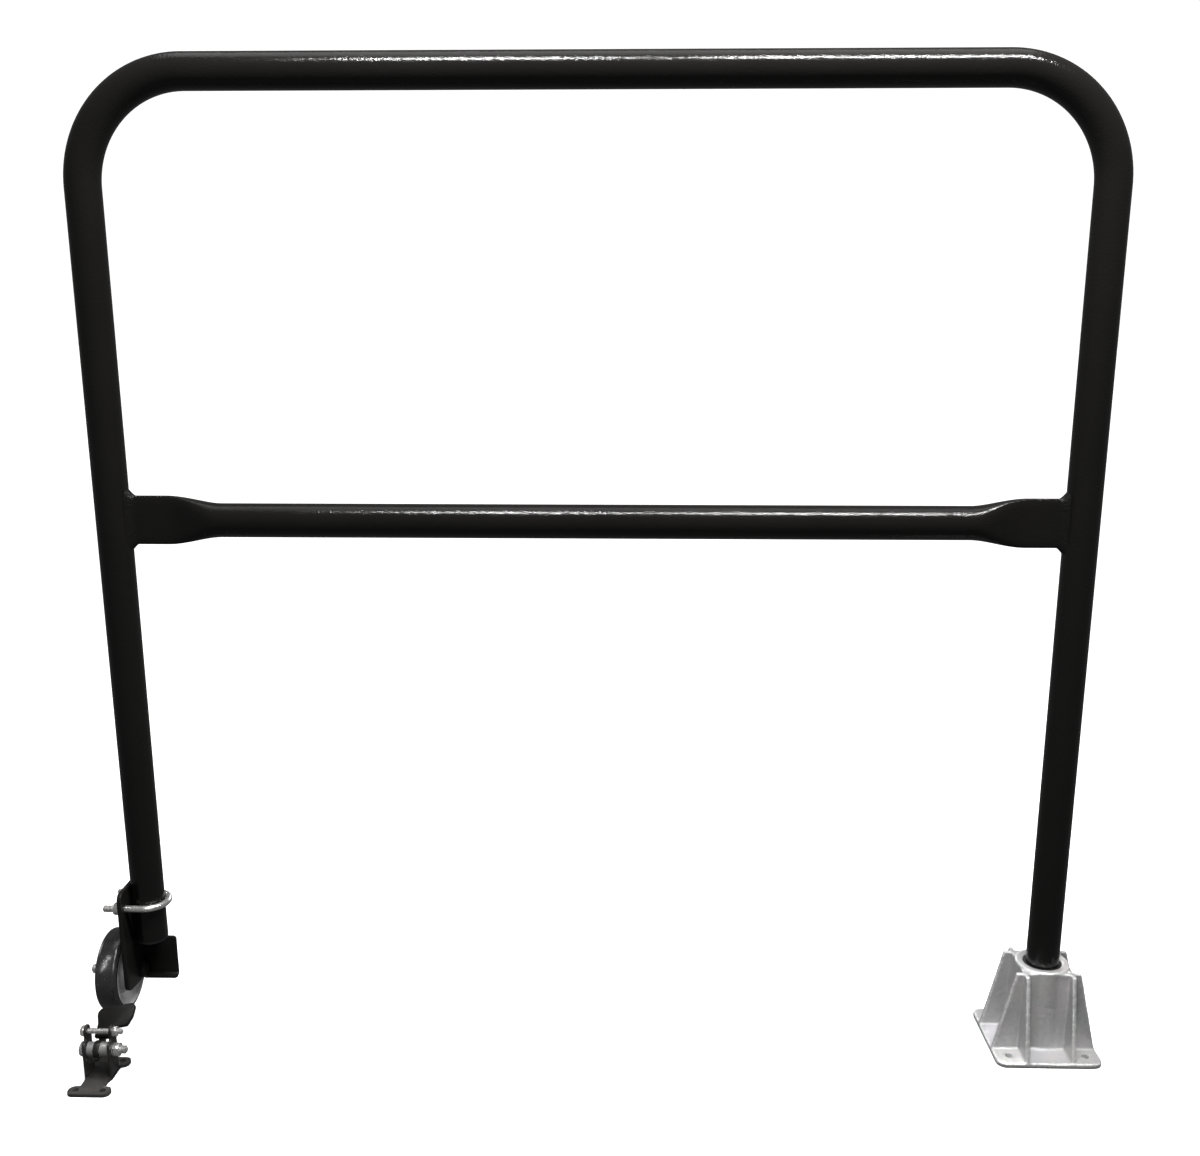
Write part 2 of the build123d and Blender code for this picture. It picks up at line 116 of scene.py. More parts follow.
class Finish:
    """A material under construction: a Principled shader and the nodes that feed it."""

    def __init__(self, name, **constants):
        self.material = bpy.data.materials.new(name)
        self.material.use_nodes = True
        self.tree = self.material.node_tree
        self.tree.nodes.clear()
        self.shader = self.tree.nodes.new("ShaderNodeBsdfPrincipled")
        output = self.tree.nodes.new("ShaderNodeOutputMaterial")
        self.tree.links.new(self.shader.outputs["BSDF"], output.inputs["Surface"])
        self.place = self.add("ShaderNodeTexCoord", output="Object")
        for key, value in constants.items():
            self.set(key.replace("_", " "), value)

    def add(self, kind, settings=None, sockets=None, output=0):
        node = self.tree.nodes.new(kind)
        for key, value in (settings or {}).items():
            if key == "stops":
                self._fill_ramp(node.color_ramp, value)
            else:
                setattr(node, key, value)
        for key, value in (sockets or {}).items():
            self._feed(node.inputs[key], value)
        return Value(self, node.outputs[output])

    def _feed(self, socket, value):
        if isinstance(value, Value):
            self.tree.links.new(value.socket, socket)
        else:
            socket.default_value = value

    def _fill_ramp(self, ramp, stops):
        while len(ramp.elements) < len(stops):
            ramp.elements.new(0.5)
        for element, (position, colour) in zip(ramp.elements, stops):
            element.position = position
            element.color = colour

    def set(self, name, value):
        self._feed(self.shader.inputs[name], value)

    def noise(self, scale, detail=2.0, roughness=0.5, vector=None):
        sockets = {"Vector": vector or self.place, "Scale": scale, "Detail": detail, "Roughness": roughness}
        return self.add("ShaderNodeTexNoise", None, sockets, "Fac")

    def stretched(self, x, y, z):
        return self.add("ShaderNodeMapping", None, {"Vector": self.place, "Scale": (x, y, z)})

    def ramp(self, value, low, high):
        stops = [(low, (0, 0, 0, 1)), (high, (1, 1, 1, 1))]
        return self.add("ShaderNodeValToRGB", {"stops": stops}, {"Fac": value})

    def mix(self, share, first, second):
        return self.add("ShaderNodeMix", {"data_type": "RGBA"}, {0: share, 6: first, 7: second}, 2)

    def edges(self, low=0.52, high=0.6):
        return self.ramp(self.add("ShaderNodeNewGeometry", output="Pointiness"), low, high)

    def bump(self, height, distance, strength=1.0):
        sockets = {"Height": height, "Distance": distance, "Strength": strength}
        self.set("Normal", self.add("ShaderNodeBump", None, sockets))


def grey(level, warm=0.0):
    return (level * (1 + warm), level, level * (1 - warm), 1)


def powder_coat():
    look = Finish("black_powder_coat", Specular_IOR_Level=0.3)
    cloud = look.noise(9.0, 3.0)
    sag = look.noise(60.0, 2.0, 0.55)
    peel = look.noise(380.0, 2.0, 0.6)
    look.set("Base Color", look.mix(cloud, grey(0.006, 0.06), grey(0.0095, 0.06)))
    look.set("Roughness", 0.09 + peel * 0.06 + cloud * 0.05)
    look.bump(sag * 0.5 + peel * 0.5, 0.0011, 0.6)
    return look.material


def weld_coat():
    look = Finish("coated_weld", Specular_IOR_Level=0.3)
    ripple = look.noise(420.0, 3.0, 0.65)
    look.set("Base Color", look.mix(ripple, grey(0.004, 0.04), grey(0.009, 0.04)))
    look.set("Roughness", 0.26 + ripple * 0.14)
    look.bump(ripple, 0.0006, 0.7)
    return look.material


def cast_aluminium():
    look = Finish("cast_aluminium", Metallic=0.6)
    cloud = look.noise(38.0, 4.0, 0.6)
    sand = look.noise(900.0, 3.0, 0.7)
    pits = look.ramp(look.noise(330.0, 2.0, 0.5), 0.3, 0.44)
    chips = look.ramp(look.noise(260.0, 3.0, 0.7), 0.4, 0.56)
    # The convex edges are brightened towards white: partly real wear, partly a painted highlight along edges
    # and fillets.
    worn = look.edges(0.505, 0.56)
    skin = look.mix(cloud, grey(0.39), grey(0.52))
    skin = look.mix((1 - pits) * 0.3, skin, grey(0.3))
    look.set("Base Color", look.mix(worn * (0.35 + chips * 0.65), skin, grey(0.97)))
    look.set("Roughness", 0.5 + sand * 0.12 - worn * 0.2)
    look.bump(sand * 0.4 + pits * 0.2 + chips * 0.4, 0.0005, 0.5)
    return look.material


def bright_zinc():
    look = Finish("bright_zinc", Metallic=0.85)
    spangle = look.noise(260.0, 3.0, 0.6)
    scratch = look.noise(1.0, 2.0, 0.5, look.stretched(300.0, 1500.0, 1500.0))
    look.set("Base Color", look.mix(spangle, grey(0.55, 0.01), grey(0.84, 0.01)))
    look.set("Roughness", 0.15 + spangle * 0.16 + scratch * 0.08)
    look.bump(scratch * 0.5 + spangle * 0.5, 0.00012, 0.5)
    return look.material


def dull_zinc():
    look = Finish("dull_zinc", Metallic=0.55)
    spangle = look.noise(420.0, 4.0, 0.7)
    turned_marks = look.noise(1.0, 2.0, 0.5, look.stretched(2400.0, 160.0, 160.0))
    look.set("Base Color", look.mix(spangle, grey(0.2), grey(0.36)))
    look.set("Roughness", 0.42 + spangle * 0.16)
    look.bump(turned_marks * 0.6 + spangle * 0.4, 0.0002, 0.6)
    return look.material


def steel_skin(look, edge, painted_light_mask=None):
    """The coated steel that both black finishes share; the optional mask marks a painted highlight, where
    the steel is greyed as if lit from above.
    """
    cloud = look.noise(60.0, 4.0, 0.6)
    fine = look.noise(1300.0, 2.0, 0.6)
    worn = look.edges(0.53, 0.62)
    skin = look.mix(cloud, grey(0.005, 0.06), grey(0.013, 0.06))
    rough = 0.28 + fine * 0.12 + cloud * 0.08
    if painted_light_mask:
        # Painted highlight: where the mask is set, the black is greyed as if light from above falls on it.
        skin = look.mix(painted_light_mask * (0.55 + cloud * 0.45), skin, grey(0.036, 0.06))
        rough = rough + painted_light_mask * 0.1
    look.set("Base Color", look.mix(worn * 0.6, skin, grey(edge, 0.03)))
    look.set("Roughness", rough)
    look.bump(fine * 0.5 + cloud * 0.5, 0.00035, 0.5)
    return look.material


def black_steel():
    return steel_skin(Finish("black_steel", Specular_IOR_Level=0.22), 0.05)


def catch_steel():
    """The same black steel, painted lighter low down on the near foot: a painted highlight of the light from
    above.
    """
    look = Finish("catch_steel", Specular_IOR_Level=0.4)
    height = look.add("ShaderNodeSeparateXYZ", None, {0: look.place}, "Z")
    depth = look.add("ShaderNodeSeparateXYZ", None, {0: look.place}, "Y")
    # The mask paints the low plate of the near foot lighter, fading out behind the pivot bolt: a painted
    # highlight of light from above.
    behind = look.ramp((depth - PIVOT_BOLT.y) * 20 + 1, 0.6, 0.78)
    foot = (1 - look.ramp(height * 50, 0.2, 0.7)) * (1 - behind * 0.85)
    return steel_skin(look, 0.07, foot)


def black_nylon():
    look = Finish("black_nylon", Specular_IOR_Level=0.35)
    fine = look.noise(900.0, 2.0)
    look.set("Base Color", look.mix(fine, grey(0.006), grey(0.012)))
    look.set("Roughness", 0.45 + fine * 0.15)
    look.bump(fine, 0.00015, 0.4)
    return look.material


def moulded_tread():
    look = Finish("moulded_tread", Specular_IOR_Level=0.6)
    cloud = look.noise(45.0, 2.0, 0.5)
    fleck = look.noise(620.0, 2.0, 0.6)
    look.set("Base Color", look.mix(cloud, grey(0.013), grey(0.022)))
    look.set("Roughness", 0.11 + fleck * 0.07 + cloud * 0.05)
    look.bump(fleck * 0.06 + cloud * 0.94, 0.0016, 0.5)
    return look.material


def grey_hub():
    look = Finish("grey_hub", Specular_IOR_Level=0.45)
    cloud = look.noise(50.0, 3.0)
    fine = look.noise(1100.0, 2.0)
    look.set("Base Color", look.mix(cloud, grey(0.4), grey(0.48)))
    look.set("Roughness", 0.4 + fine * 0.12)
    look.bump(fine, 0.00018, 0.4)
    return look.material


COAT = powder_coat()
WELD = weld_coat()
CAST = cast_aluminium()
ZINC = bright_zinc()
DULL = dull_zinc()
STEEL = black_steel()
CATCH = catch_steel()
NYLON = black_nylon()
TREAD = moulded_tread()
HUB = grey_hub()


# ---- mesh helpers ------------------------------------------------------------------------------
def add_piece(name, bm, material, body, nodes=(), crease=32.0):
    """Turns a bmesh into a piece that rides on a body and stands for the named CAD nodes."""
    bmesh.ops.remove_doubles(bm, verts=bm.verts, dist=2e-6)
    bmesh.ops.recalc_face_normals(bm, faces=bm.faces)
    mesh = bpy.data.meshes.new(name)
    bm.to_mesh(mesh)
    bm.free()
    mesh.materials.append(material)
    piece = bpy.data.objects.new(name, mesh)
    bpy.context.scene.collection.objects.link(piece)
    soften(mesh, crease)
    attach(piece, body)
    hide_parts(*nodes)
    return piece


def soften(mesh, crease):
    mesh.shade_smooth()
    mesh.set_sharp_from_angle(angle=math.radians(crease))


def bake_modifiers(piece, crease):
    graph = bpy.context.evaluated_depsgraph_get()
    baked = bpy.data.meshes.new_from_object(piece.evaluated_get(graph))
    piece.modifiers.clear()
    piece.data = baked
    soften(baked, crease)


def turn_to_x(centre):
    """Places a shape made along +Z so that it runs along +X about centre."""
    return Matrix.Translation(centre) @ Matrix.Rotation(math.pi / 2, 4, "Y")


def bevel(bm, edges, width, segments=3):
    bmesh.ops.bevel(
        bm,
        geom=edges,
        offset=width,
        offset_type="OFFSET",
        affect="EDGES",
        segments=segments,
        profile=0.5,
        clamp_overlap=True,
        material=-1,
    )


def edges_along(bm, axis, tolerance=0.999):
    found = []
    for edge in bm.edges:
        run = (edge.verts[1].co - edge.verts[0].co).normalized()
        if abs(run.dot(axis)) > tolerance:
            found.append(edge)
    return found


def sharp_edges(bm, degrees=40):
    limit = math.radians(degrees)
    return [e for e in bm.edges if len(e.link_faces) == 2 and e.calc_face_angle(0) > limit]


def slab(bm, low, high, axis, corner, rim):
    """A plate between two corners, with its outline's corners rounded about axis and a broken rim."""
    size = Vector(high) - Vector(low)
    place = Matrix.Translation((Vector(high) + Vector(low)) / 2) @ Matrix.Diagonal((*size, 1))
    part = bmesh.new()
    bmesh.ops.create_cube(part, size=1, matrix=place)
    bevel(part, edges_along(part, axis), corner, 8)
    bevel(part, sharp_edges(part), rim, 2)
    pour(bm, part)


def pour(bm, part, matrix=None):
    """Moves the geometry of one bmesh into another."""
    if matrix:
        bmesh.ops.transform(part, matrix=matrix, verts=part.verts)
    mesh = bpy.data.meshes.new("pour")
    part.to_mesh(mesh)
    part.free()
    bm.from_mesh(mesh)
    bpy.data.meshes.remove(mesh)


def outline_face(part, points, normal_axis):
    """A flat face from (a, b) points: across Y and Z for normal X, across X and Y for normal Z."""
    lift = {"X": lambda a, b: (0, a, b), "Z": lambda a, b: (a, b, 0)}[normal_axis]
    corners = [part.verts.new(lift(a, b)) for a, b in points]
    return part.faces.new(corners)


def round_corners(part, radius, chosen=None, segments=6):
    corners = [v for v in part.verts if chosen is None or chosen(v.co)]
    bmesh.ops.bevel(
        part,
        geom=corners,
        offset=radius,
        offset_type="OFFSET",
        affect="VERTICES",
        segments=segments,
        profile=0.5,
        clamp_overlap=True,
        material=-1,
    )


def thicken(part, run):
    faces = list(part.faces)
    grown = bmesh.ops.extrude_face_region(part, geom=faces, use_keep_orig=True)
    moved = [g for g in grown["geom"] if isinstance(g, bmesh.types.BMVert)]
    bmesh.ops.translate(part, verts=moved, vec=run)
    bmesh.ops.recalc_face_normals(part, faces=part.faces)


def turned(bm, centre, profile, facets=ROUND_FACETS):
    """A closed turned part about an axis along X: profile is a loop of (along, radius) points."""
    part = bmesh.new()
    corners = [part.verts.new((along, 0, radius)) for along, radius in profile]
    loop = list(zip(corners, corners[1:] + corners[:1]))
    edges = [part.edges.new(pair) for pair in loop if not (pair[0].co.z == 0 and pair[1].co.z == 0)]
    bmesh.ops.spin(
        part, geom=corners + edges, cent=ORIGIN, axis=AXIS_X, angle=2 * math.pi, steps=facets, use_merge=True
    )
    bmesh.ops.remove_doubles(part, verts=part.verts, dist=1e-6)
    pour(bm, part, Matrix.Translation(centre))


def arc(centre_along, centre_radius, radius, start, end, steps=6):
    """Points of a round stretch of a turned profile; the angles are in degrees from +X to outward."""
    points = []
    for step in range(steps + 1):
        angle = math.radians(start + (end - start) * step / steps)
        points.append((centre_along + radius * math.cos(angle), centre_radius + radius * math.sin(angle)))
    return points


def hexagon(bm, across, x_from, x_to, centre, crowns=(1,), turn=0.0):
    """A hexagon along X; each crown, -1 or 1, is an end whose corners are turned down."""
    part = bmesh.new()
    place = turn_to_x(Vector(((x_from + x_to) / 2, centre.y, centre.z))) @ Matrix.Rotation(turn, 4, "Z")
    radius = across / math.sqrt(3)
    bmesh.ops.create_cone(
        part, cap_ends=True, segments=6, radius1=radius, radius2=radius, depth=x_to - x_from, matrix=place
    )
    cuts = 36
    for crown in crowns:
        face_x = x_to if crown > 0 else x_from
        for cut in range(cuts):
            angle = 2 * math.pi * cut / cuts
            outward = Vector((0, math.cos(angle), math.sin(angle)))
            point = Vector((face_x, centre.y, centre.z)) + outward * across * 0.475
            normal = outward * math.sin(math.radians(30)) + AXIS_X * crown * math.cos(math.radians(30))
            geometry = part.verts[:] + part.edges[:] + part.faces[:]
            bmesh.ops.bisect_plane(
                part, geom=geometry, dist=1e-7, plane_co=point, plane_no=normal, clear_outer=True
            )
            bmesh.ops.holes_fill(part, edges=part.edges, sides=0)
    bevel(part, sharp_edges(part, 45), 0.25 * MM, 1)
    pour(bm, part)


def thread(bm, radius, pitch, x_from, x_to, centre):
    """A helical ridge round an axis along X, closed at both ends."""
    part = bmesh.new()
    depth = pitch * 0.61
    bite = pitch * 0.06
    profile = [(0, radius - depth), (pitch * 0.44, radius), (pitch * 0.56, radius), (pitch, radius - depth)]
    profile += [(pitch, radius - depth - bite), (0, radius - depth - bite)]
    corners = [part.verts.new((along, 0, high)) for along, high in profile]
    part.faces.new(corners)
    steps_per_turn = 24
    turns = (x_to - x_from) / pitch - 1
    steps = max(1, round(turns * steps_per_turn))
    bmesh.ops.spin(
        part,
        geom=part.verts[:] + part.edges[:] + part.faces[:],
        cent=ORIGIN,
        axis=AXIS_X,
        angle=2 * math.pi * steps / steps_per_turn,
        dvec=AXIS_X * pitch / steps_per_turn,
        steps=steps,
    )
    bmesh.ops.holes_fill(part, edges=part.edges, sides=0)
    pour(bm, part, Matrix.Translation(Vector((x_from, centre.y, centre.z))))


def threaded_rod(bm, radius, pitch, x_from, x_to, centre):
    """A core with a helical ridge on it and a chamfered end at x_from and x_to."""
    core = radius - pitch * 0.6
    tip = radius * 0.25
    profile = [
        (x_from, 0),
        (x_from, core - tip),
        (x_from + tip, core),
        (x_to - tip, core),
        (x_to, core - tip),
        (x_to, 0),
    ]
    turned(bm, Vector((0, centre.y, centre.z)), profile, 32)
    thread(bm, radius, pitch, x_from + tip * 0.4, x_to - tip * 0.4, centre)


def ring(bm, inner, outer, x_from, x_to, centre, edge):
    """A washer or spacer along X with broken edges."""
    profile = [
        (x_from, inner + edge),
        (x_from, outer - edge),
        (x_from + edge, outer),
        (x_to - edge, outer),
        (x_to, outer - edge),
        (x_to, inner + edge),
        (x_to - edge, inner),
        (x_from + edge, inner),
    ]
    turned(bm, Vector((0, centre.y, centre.z)), profile, 64)


def dress(node, material):
    """Gives a carried-over CAD node its finish."""
    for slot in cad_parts[node].material_slots:
        slot.material = material


# ---- hoop and mid rail -------------------------------------------------------------------------
def only(kind, geometry):
    return [g for g in geometry if isinstance(g, kind)]


def extend(bm, rim, run):
    grown = bmesh.ops.extrude_edge_only(bm, edges=rim)["geom"]
    bmesh.ops.translate(bm, verts=only(bmesh.types.BMVert, grown), vec=run)
    moved = set(only(bmesh.types.BMVert, grown))
    return [e for e in only(bmesh.types.BMEdge, grown) if set(e.verts) <= moved]


def bend(bm, rim, centre, axis, degrees, steps):
    verts = list({v for e in rim for v in e.verts})
    swept = bmesh.ops.spin(
        bm, geom=verts + rim, cent=centre, axis=axis, angle=math.radians(degrees), steps=steps
    )
    return only(bmesh.types.BMEdge, swept["geom_last"])


def start_ring(bm, radius, place, facets=TUBE_FACETS):
    bmesh.ops.create_circle(bm, cap_ends=True, segments=facets, radius=radius, matrix=place)
    return bm.edges[:]


def make_hoop():
    bm = bmesh.new()
    rim = start_ring(bm, TUBE_R, Matrix.Translation((PIVOT_X, 0, PIVOT_LEG_END)))
    rim = extend(bm, rim, AXIS_Z * (TOP_Z - BEND_R - PIVOT_LEG_END))
    rim = bend(bm, rim, Vector((PIVOT_X - BEND_R, 0, TOP_Z - BEND_R)), AXIS_Y, -90, 36)
    rim = extend(bm, rim, AXIS_X * (FREE_X - PIVOT_X + 2 * BEND_R))
    rim = bend(bm, rim, Vector((FREE_X + BEND_R, 0, TOP_Z - BEND_R)), AXIS_Y, -90, 36)
    extend(bm, rim, AXIS_Z * (FREE_LEG_END - TOP_Z + BEND_R))
    bmesh.ops.holes_fill(bm, edges=bm.edges, sides=0)
    add_piece("hoop", bm, COAT, "gate", ["hoop_tube"])


PINCH_FLAT = 42 * MM
PINCH_TAPER = 62 * MM
PINCH_WIDE = 4.5 * MM
PINCH_HIGH = (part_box("mid_rail")[1].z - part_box("mid_rail")[0].z) / 2


def pinch_share(x):
    """0 where the rail is round, 1 where it is pressed flat, by distance from the nearer leg."""
    reach = min(abs(x - PIVOT_X), abs(x - FREE_X)) - TUBE_R
    share = min(1, max(0, 1 - (reach - PINCH_FLAT) / PINCH_TAPER))
    return share * share * (3 - 2 * share)


def pinch(co, grow_wide=0.0, grow_high=0.0, share=None):
    """Presses a point of the round rail, about the rail's own axis, into its pinched section."""
    share = pinch_share(co.x) if share is None else share
    angle = math.atan2(co.z - RAIL_Z, co.y)
    power = 2 / (2 + 3.2 * share)
    wide = TUBE_R + (PINCH_WIDE - TUBE_R) * share + grow_wide
    high = TUBE_R + (PINCH_HIGH - TUBE_R) * share + grow_high
    across, up = math.cos(angle), math.sin(angle)
    co.y = wide * math.copysign(abs(across) ** power, across)
    co.z = RAIL_Z + high * math.copysign(abs(up) ** power, up)


def make_mid_rail():
    bm = bmesh.new()
    sink = 3 * MM
    start = FREE_X + TUBE_R - sink
    end = PIVOT_X - TUBE_R + sink
    rim = start_ring(bm, TUBE_R, turn_to_x(Vector((start, 0, RAIL_Z))), 96)
    taper_steps = 20
    stops = [FREE_X + TUBE_R + PINCH_FLAT * share for share in (0.5, 1)]
    stops += [stops[-1] + PINCH_TAPER * (step + 1) / taper_steps for step in range(taper_steps)]
    stops += [PIVOT_X + FREE_X - x for x in reversed(stops)] + [end]
    here = start
    for stop in stops:
        rim = extend(bm, rim, AXIS_X * (stop - here))
        here = stop
    bmesh.ops.holes_fill(bm, edges=bm.edges, sides=0)
    for vert in bm.verts:
        pinch(vert.co)
    add_piece("pinched_mid_rail", bm, COAT, "gate", ["mid_rail"])


def make_welds():
    bm = bmesh.new()
    reach, sink, rings = 8 * MM, 1.5 * MM, 7
    ripples, ripple_high = 34, 0.28 * MM
    for leg_x, side in ((PIVOT_X, -1), (FREE_X, 1)):
        part = bmesh.new()
        rim = start_ring(part, TUBE_R, turn_to_x(Vector((0, 0, RAIL_Z))), 160)
        for _ in range(rings):
            rim = extend(part, rim, AXIS_X)
        bmesh.ops.holes_fill(part, edges=part.edges, sides=0)
        for vert in part.verts:
            out = vert.co.x / rings
            angle = math.atan2(vert.co.z - RAIL_Z, vert.co.y)
            toe = (1 - out) ** 1.5
            ripple = ripple_high * math.sin(angle * ripples + 5 * out) * (1 - abs(2 * out - 1))
            pinch(vert.co, 5 * MM * toe + ripple, 9 * MM * toe + ripple, 1)
            round_leg = math.sqrt(max(0, TUBE_R**2 - vert.co.y**2))
            vert.co.x = leg_x + side * (round_leg - sink + (reach + sink) * out)
        pour(bm, part)
    add_piece("rail_weld_beads", bm, WELD, "gate", ["rail_welds"], 60)


# ---- floor socket ------------------------------------------------------------------------------
def make_socket():
    low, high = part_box("socket_casting")
    plate_thick, rib_half, rib_offset = 6 * MM, 2.5 * MM, 27 * MM
    wall, fillet = 9.2 * MM, 5 * MM
    bore = (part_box("socket_bush")[1].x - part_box("socket_bush")[0].x) / 2
    collar_out = bore + wall
    foot, shoulder, rib_top = 60.5 * MM, 38 * MM, high.z - 2 * MM
    bm = bmesh.new()
    slab(bm, low, (high.x, high.y, plate_thick), AXIS_Z, 12 * MM, 0.8 * MM)
    collar = bmesh.new()
    loop = [(2 * MM, bore), (2 * MM, collar_out + fillet)]
    loop += arc(plate_thick + fillet, collar_out + fillet, fillet, 180, 270)
    loop += [(high.z, collar_out), (high.z, bore)]
    turned(collar, ORIGIN, loop, 96)
    pour(bm, collar, Matrix.Rotation(-math.pi / 2, 4, "Y"))
    for offset in (-rib_offset, rib_offset):
        for quarter in (0, math.pi / 2):
            rib = bmesh.new()
            outline = [(-foot, 2 * MM), (foot, 2 * MM), (foot, plate_thick + 1 * MM)]
            outline += [(shoulder, rib_top), (-shoulder, rib_top), (-foot, plate_thick + 1 * MM)]
            outline_face(rib, outline, "X")
            thicken(rib, AXIS_X * 2 * rib_half)
            bmesh.ops.translate(rib, verts=rib.verts, vec=AXIS_X * (offset - rib_half))
            pour(bm, rib, Matrix.Rotation(quarter, 4, "Z"))
    piece = add_piece("socket", bm, CAST, "floor_fittings", ["socket_casting"])
    remesh = piece.modifiers.new("cast", "REMESH")
    remesh.mode = "VOXEL"
    remesh.voxel_size = 1.25 * MM
    smooth = piece.modifiers.new("fillet", "SMOOTH")
    smooth.factor = 0.5
    smooth.iterations = 5
    anchor_half, anchor_r = 45 * MM, 4.5 * MM
    drills = []
    for x in (-anchor_half, anchor_half):
        for y in (-anchor_half, anchor_half):
            drills.append(drill((x, y, plate_thick / 2), anchor_r, 4 * plate_thick))
    cut_away(piece, drills)
    roughen(piece.data, high)
    for node in ("socket_bush", "socket_thrust_pad", "pivot_leg_plug", "free_leg_cap"):
        dress(node, NYLON)


def roughen(mesh, high):
    """Gives the casting its sand grain, which fades out towards the sides of its box."""
    grain_high = 0.28 * MM
    skin = bmesh.new()
    skin.from_mesh(mesh)
    for vert in skin.verts:
        grain = noise.noise(vert.co * 190) + 0.5 * noise.noise(vert.co * 460)
        inside = min(vert.co.z, high.z - vert.co.z, high.x - abs(vert.co.x), high.y - abs(vert.co.y))
        vert.co += vert.normal * grain_high * grain * min(1, max(0, inside / MM))
    skin.to_mesh(mesh)
    skin.free()
    soften(mesh, 50)


def drill(centre, radius, depth):
    bm = bmesh.new()
    place = Matrix.Translation(centre)
    bmesh.ops.create_cone(
        bm, cap_ends=True, segments=32, radius1=radius, radius2=radius, depth=depth, matrix=place
    )
    return bm


def cut_away(piece, drills):
    """Cuts the drills out of the piece with one Boolean."""
    bm = bmesh.new()
    for part in drills:
        pour(bm, part)
    mesh = bpy.data.meshes.new("drills")
    bm.to_mesh(mesh)
    bm.free()
    cutter = bpy.data.objects.new("drills", mesh)
    bpy.context.scene.collection.objects.link(cutter)
    cut = piece.modifiers.new("holes", "BOOLEAN")
    cut.operation = "DIFFERENCE"
    cut.solver = "EXACT"
    cut.object = cutter
    bake_modifiers(piece, 32)
    bpy.data.objects.remove(cutter)


# ---- bracket on the free leg -------------------------------------------------------------------
def make_side_plate():
    near_rise = 8 * MM
    part = bmesh.new()
    outline = [(plate_low.y, plate_low.z + near_rise), (plate_high.y, plate_low.z)]
    outline += [(plate_high.y, plate_high.z), (plate_low.y, plate_high.z)]
    outline_face(part, outline, "X")
    round_corners(part, 9 * MM, None, 8)
    thicken(part, AXIS_X * (plate_high.x - plate_low.x))
    bevel(part, sharp_edges(part, 60), 0.7 * MM, 2)
    bm = bmesh.new()
    pour(bm, part, Matrix.Translation((plate_low.x, 0, 0)))
    add_piece("side_plate", bm, STEEL, "wheel_bracket", ["bracket_side_plate"])


def make_seat_angle():
    low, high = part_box("bracket_seat_angle")
    wall, corner, bend_in = 4 * MM, 4 * MM, 2 * MM
    part = bmesh.new()
    outline = [(high.y, low.z), (high.y, high.z), (high.y - wall, high.z)]
    outline += [(high.y - wall, low.z + wall), (low.y, low.z + wall), (low.y, low.z)]
    outline_face(part, outline, "X")
    thicken(part, AXIS_X * (high.x - low.x))
    bmesh.ops.translate(part, verts=part.verts, vec=AXIS_X * low.x)
    free_end = [e for e in part.edges if all(v.co.x > high.x - MM for v in e.verts)]
    top = [e for e in free_end if e in edges_along(part, AXIS_Y) and e.verts[0].co.z > high.z - MM]
    front = [e for e in free_end if e in edges_along(part, AXIS_Z) and e.verts[0].co.y < low.y + MM]
    bevel(part, top + front, corner, 8)
    long_edges = edges_along(part, AXIS_X)
    outer = [e for e in long_edges if e.verts[0].co.y > high.y - MM and e.verts[0].co.z < low.z + MM]
    inner = [
        e
        for e in long_edges
        if abs(e.verts[0].co.y - high.y + wall) < 0.1 * MM and abs(e.verts[0].co.z - low.z - wall) < 0.1 * MM
    ]
    bevel(part, outer, bend_in + wall, 6)
    bevel(part, inner, bend_in, 5)
    bevel(part, sharp_edges(part, 50), 0.5 * MM, 2)
    bm = bmesh.new()
    pour(bm, part)
    add_piece("seat_angle", bm, STEEL, "wheel_bracket", ["bracket_seat_angle"])


def make_u_bolt():
    low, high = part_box("u_bolt")
    rod = (high.z - low.z) / 2
    line_r = (high.y - low.y) / 2 - rod
    pitch, thread_run = 1.25 * MM, 24 * MM
    bm = bmesh.new()
    start = low.x + thread_run
    rim = start_ring(bm, rod, turn_to_x(Vector((start, -line_r, U_BOLT_Z))), 32)
    rim = extend(bm, rim, AXIS_X * (FREE_X - start))
    rim = bend(bm, rim, Vector((FREE_X, 0, U_BOLT_Z)), AXIS_Z, 180, 40)
    extend(bm, rim, -AXIS_X * (FREE_X - start))
    bmesh.ops.holes_fill(bm, edges=bm.edges, sides=0)
    for y in (-line_r, line_r):
        threaded_rod(bm, rod, pitch, low.x, start + pitch, Vector((0, y, U_BOLT_Z)))
    add_piece("clamp_u_bolt", bm, ZINC, "wheel_bracket", ["u_bolt"], 38)
    nuts_low, nuts_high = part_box("u_bolt_nuts")
    washers_low, washers_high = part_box("u_bolt_washers")
    nuts, washers = bmesh.new(), bmesh.new()
    across = nuts_high.z - nuts_low.z
    for y, turn in ((-line_r, 0.2), (line_r, 0.7)):
        centre = Vector((0, y, U_BOLT_Z))
        hexagon(nuts, across, nuts_low.x, nuts_high.x, centre, (-1,), turn)
        outer = (washers_high.z - washers_low.z) / 2
        ring(washers, rod, outer, washers_low.x, washers_high.x, centre, 0.3 * MM)
    add_piece("clamp_nuts", nuts, ZINC, "wheel_bracket", ["u_bolt_nuts"])
    add_piece("clamp_washers", washers, ZINC, "wheel_bracket", ["u_bolt_washers"])


